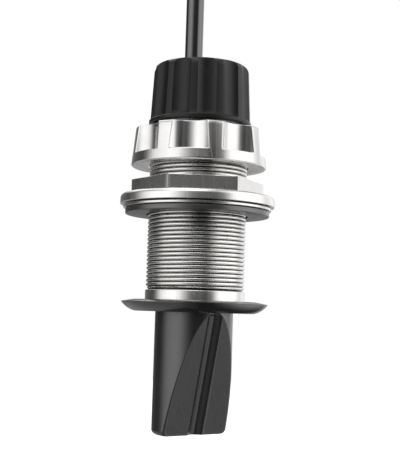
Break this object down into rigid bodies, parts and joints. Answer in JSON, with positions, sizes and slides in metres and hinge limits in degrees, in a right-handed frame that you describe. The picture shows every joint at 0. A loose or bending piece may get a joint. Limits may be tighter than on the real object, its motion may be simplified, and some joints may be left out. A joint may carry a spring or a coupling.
{
  "type": "thru-hull sonar transducer",
  "caption": "Thru-hull sonar transducer: threaded steel sleeve with hull nut and castle nut, faceted black insert, fluted cap and cable.",
  "frame": {"origin": "on the axis of the threaded sleeve, in the plane where the flange seats against the hull", "axes": "+Z along the axis towards the cable, inside the hull; -Y towards the camera of the picture"},
  "size_m": [0.0802, 0.0802, 0.2676],
  "materials": {
    "stainless_steel": "turned, satin",
    "bright_steel": "bright turned",
    "flange_plastic": "satin moulded",
    "black_plastic": "satin moulded",
    "cap_plastic": "fine-grained moulded",
    "grey_rubber": "matt",
    "black_rubber": "matt",
    "cable_jacket": "glossy jacket",
    "piezo_ceramic": "matt",
    "backing_absorber": "matt",
    "board_laminate": "satin",
    "ferrite": "matt",
    "brass": "turned",
    "potting_compound": "cast"
  },
  "bodies": {
    "housing": {"hull_flange": "flange_plastic", "threaded_sleeve": "stainless_steel"},
    "washers": {"rubber_washer": "grey_rubber", "slip_washer": "bright_steel"},
    "nut": {"hull_nut": "stainless_steel"},
    "insert": {"insert_body": "black_plastic", "lower_o_ring": "black_rubber", "upper_o_ring": "black_rubber", "shoulder_gasket": "black_rubber", "retaining_collar": "black_plastic", "cable_grommet": "black_rubber", "piezo_bar_left": "piezo_ceramic", "piezo_bar_right": "piezo_ceramic", "backing_block": "backing_absorber", "circuit_board": "board_laminate", "tuning_transformer": "ferrite", "temperature_sensor": "brass", "potting_plug": "potting_compound", "cable": "cable_jacket", "connector_shell": "black_plastic", "pin_insert": "brass"},
    "castle": {"castle_nut": "stainless_steel"},
    "gland": {"gland_thrust_ring": "bright_steel"},
    "cap": {"fluted_cap": "cap_plastic"},
    "coupling": {"coupling_ring": "cap_plastic"}
  },
  "joints": [
    {"name": "washer_travel", "type": "slide", "parent": "housing", "child": "washers", "axis": [0, 0, 1], "range_m": [-0.03387, 0.00635]},
    {"name": "hull_nut_turn", "type": "hinge", "parent": "washers", "child": "nut", "pos_m": [0, 0, 0.055], "axis": [0, 0, 1], "range_deg": [-5760, 1080]},
    {"name": "insert_lift", "type": "slide", "parent": "housing", "child": "insert", "axis": [0, 0, 1], "range_m": [0, 0.0127]},
    {"name": "castle_nut_turn", "type": "hinge", "parent": "insert", "child": "castle", "pos_m": [0, 0, 0.08], "axis": [0, 0, 1], "range_deg": [0, 2160]},
    {"name": "gland_travel", "type": "slide", "parent": "insert", "child": "gland", "axis": [0, 0, 1], "range_m": [0, 0.006]},
    {"name": "fluted_cap_turn", "type": "hinge", "parent": "gland", "child": "cap", "pos_m": [0, 0, 0.105], "axis": [0, 0, 1], "range_deg": [0, 1080]},
    {"name": "coupling_ring_turn", "type": "hinge", "parent": "insert", "child": "coupling", "pos_m": [-0.0044, 0, 0.1852], "axis": [0, 0, 1], "continuous": true}
  ],
  "couplings": [
    {"joint": "washer_travel", "follows": "hull_nut_turn", "m_per_rad": 0.00033688},
    {"joint": "insert_lift", "follows": "castle_nut_turn", "m_per_rad": 0.00033688},
    {"joint": "gland_travel", "follows": "fluted_cap_turn", "m_per_rad": 0.00031831}
  ]
}
